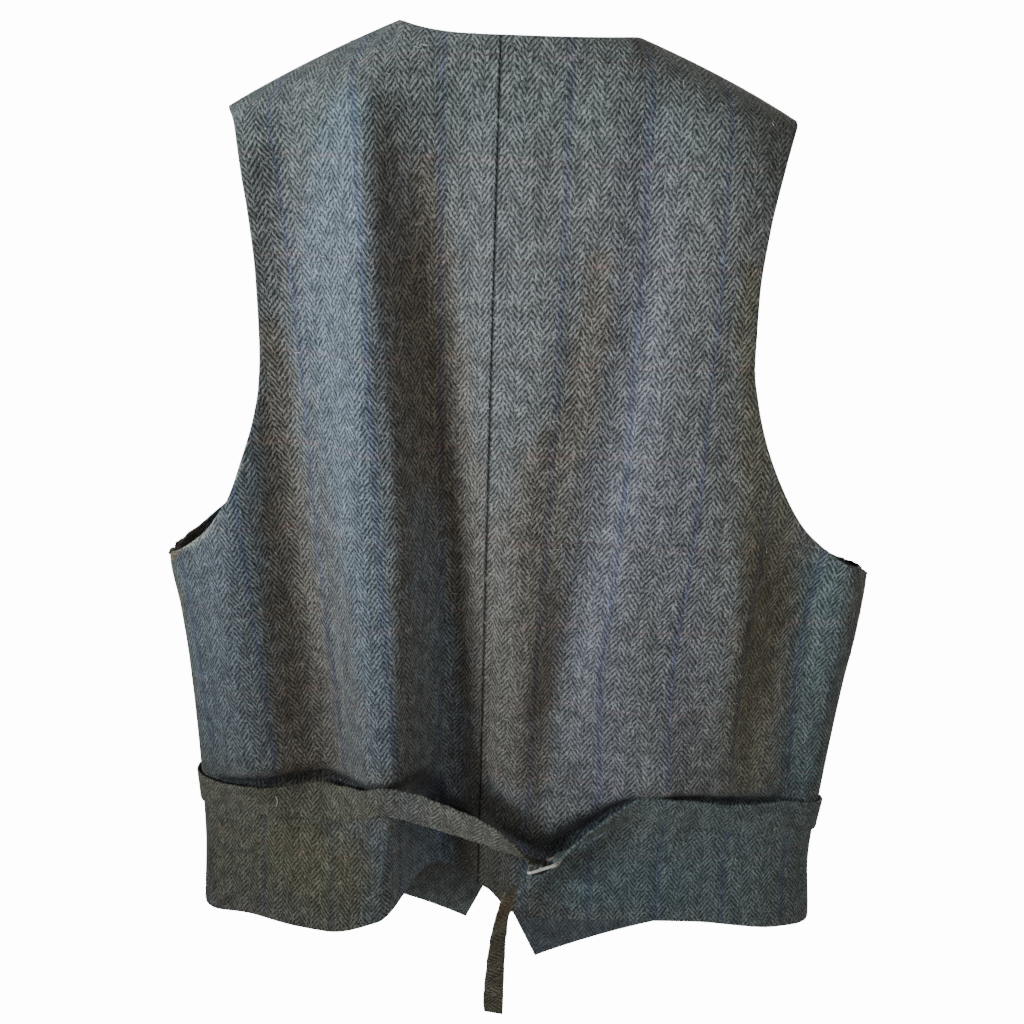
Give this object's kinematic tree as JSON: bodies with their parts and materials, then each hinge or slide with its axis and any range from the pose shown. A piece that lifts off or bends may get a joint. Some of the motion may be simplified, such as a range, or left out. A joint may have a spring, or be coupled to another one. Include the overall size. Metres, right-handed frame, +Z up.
{
  "type": "suit waistcoat",
  "caption": "Tweed suit waistcoat filled out as if worn: V neck, buttoned front with points, open armholes, and a back cinched by two straps and a buckle.",
  "frame": {"origin": "middle of the neck opening, level with the shoulders' neck points, where the wearer's shoulders hold the garment", "axes": "+Z up, -Y the way the wearer faces, +X the wearer's left"},
  "size_m": [0.4967, 0.1507, 0.7175],
  "materials": {
    "tweed": "woven wool herringbone, matt",
    "strap_tweed": "woven wool herringbone, matt",
    "buckle_metal": "plated wire",
    "button_horn": "polished horn look"
  },
  "bodies": {
    "root": {"back_left": "tweed", "back_right": "tweed", "front_left": "tweed", "front_right": "tweed", "strap_left": "strap_tweed", "strap_right": "strap_tweed", "buckle": "buckle_metal", "button_1": "button_horn", "button_2": "button_horn", "button_3": "button_horn", "button_4": "button_horn", "button_5": "button_horn"}
  },
  "joints": []
}
